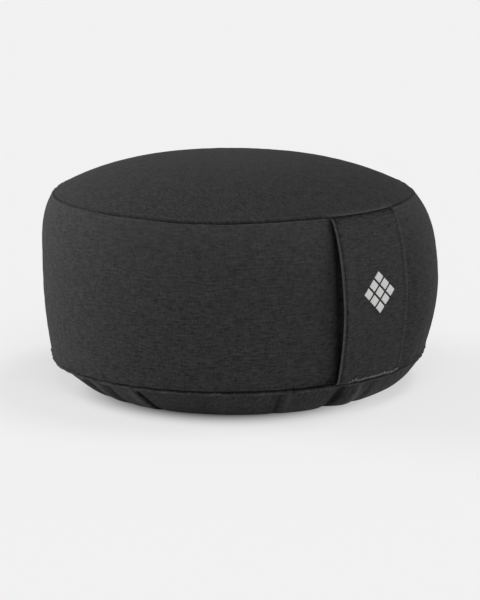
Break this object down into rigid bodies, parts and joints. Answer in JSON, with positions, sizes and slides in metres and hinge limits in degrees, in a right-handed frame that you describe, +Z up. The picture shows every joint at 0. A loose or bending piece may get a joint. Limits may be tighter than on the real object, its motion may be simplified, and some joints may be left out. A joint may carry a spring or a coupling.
{
  "type": "meditation cushion",
  "caption": "Round filled meditation cushion with a crowned top, drawn-in seams, a gathered underside and a wide carrying strap on its side.",
  "frame": {"origin": "on the flat base, below the middle of the cushion, on the surface it rests on", "axes": "+Z up through the crown, -Y out through the waist of the carrying strap, +X to the right of the strap as seen from in front of it"},
  "size_m": [0.3297, 0.328, 0.1855],
  "materials": {
    "cover_cotton": "matte charcoal twill with faint heathered mottling",
    "strap_cotton": "matte charcoal twill, doubled and edge stitched"
  },
  "bodies": {
    "root": {"cushion": "cover_cotton", "carry_strap": "strap_cotton"}
  },
  "joints": []
}
